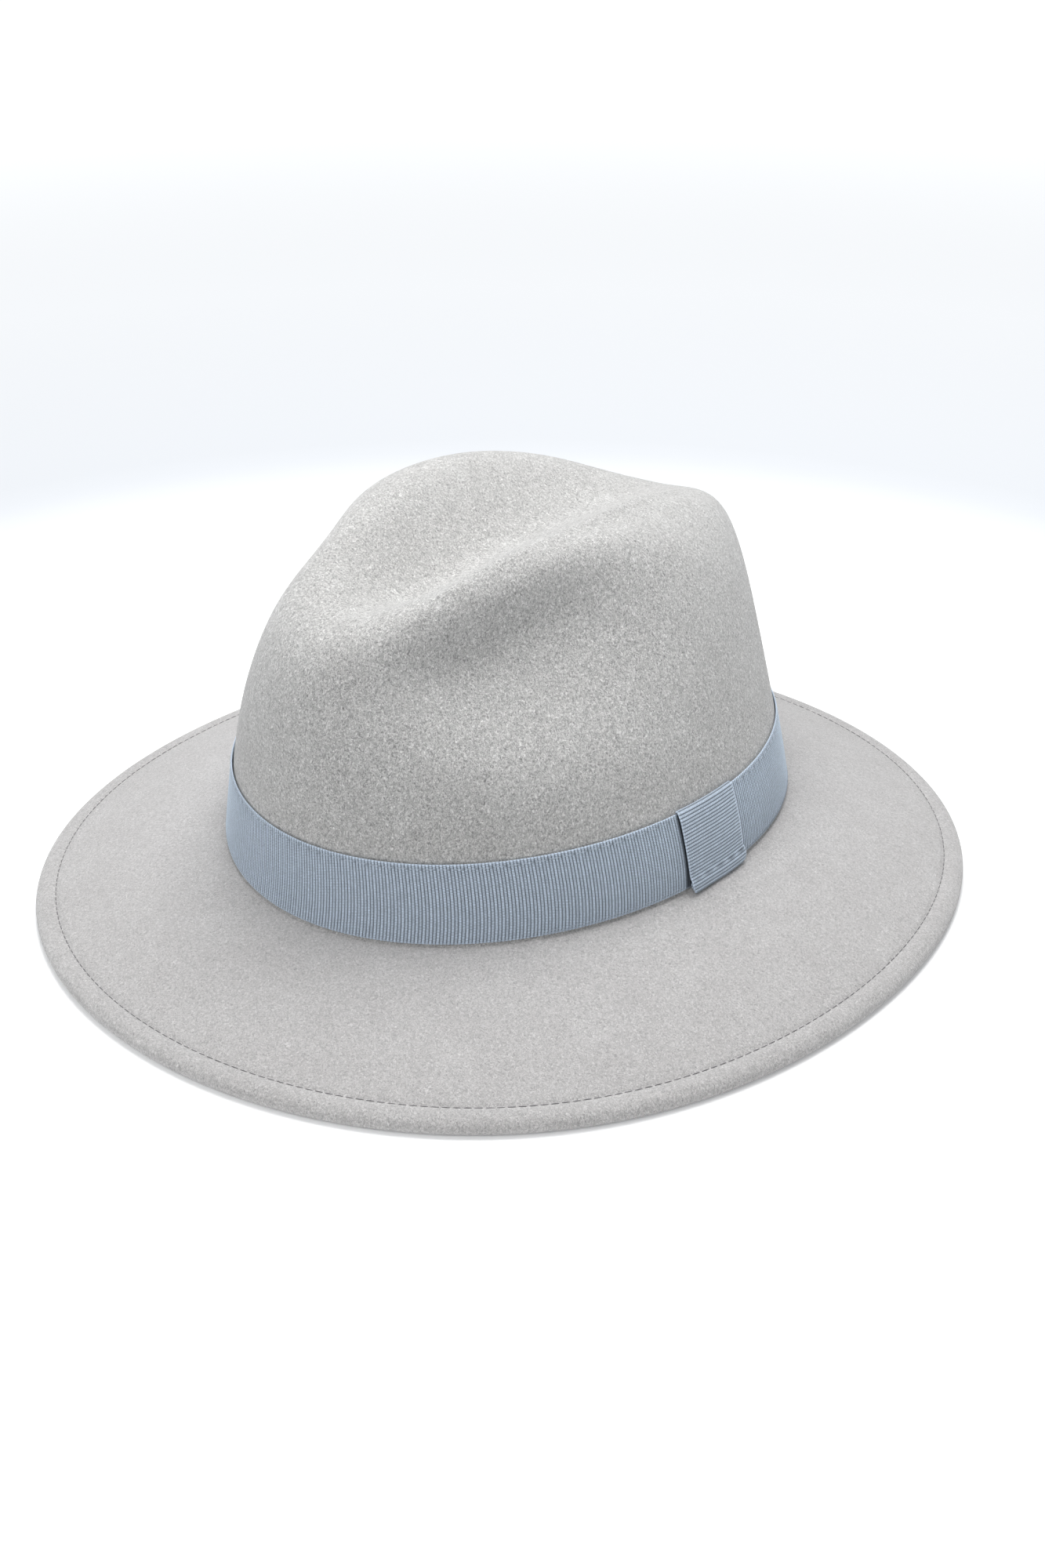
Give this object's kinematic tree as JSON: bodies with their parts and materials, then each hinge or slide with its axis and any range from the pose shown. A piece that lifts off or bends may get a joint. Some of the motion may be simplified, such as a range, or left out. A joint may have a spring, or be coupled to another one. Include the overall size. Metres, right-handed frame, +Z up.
{
  "type": "felt fedora hat",
  "caption": "Wide-brimmed felt fedora with a teardrop crown, pinched front, grosgrain band with a flat tab and a stitched, wired brim edge.",
  "frame": {"origin": "on the surface the hat stands on, under the middle of its bounding box", "axes": "+Z up; -Y is the hat's front; +X is the wearer's left, where the band's tab is"},
  "size_m": [0.3066, 0.3308, 0.1384],
  "materials": {
    "felt": "short-fibred wool felt, warm light grey",
    "grosgrain": "ribbed grosgrain ribbon, blue-grey, slight sheen",
    "ribbon_thread": "fine sewing thread, pale blue-grey",
    "thread": "sewing thread, dark grey",
    "spring_steel": "drawn spring wire",
    "sweatband_leather": "thin matt leather, light grey",
    "reed_tape": "fine woven tape, grey",
    "reed_plastic": "translucent plastic rod"
  },
  "bodies": {
    "root": {"felt_body": "felt", "brim_wire": "spring_steel", "wire_joiner": "spring_steel", "welt_needle_thread": "thread", "welt_bobbin_thread": "thread", "hat_band": "grosgrain", "band_tab": "grosgrain", "band_top_thread": "ribbon_thread", "band_bottom_thread_front": "ribbon_thread", "band_bottom_thread_rear": "ribbon_thread", "tab_thread": "ribbon_thread", "sweatband": "sweatband_leather", "sweatband_reed": "reed_plastic", "reed_tape": "reed_tape", "sweatband_thread": "thread", "sweatband_bow": "grosgrain"}
  },
  "joints": []
}
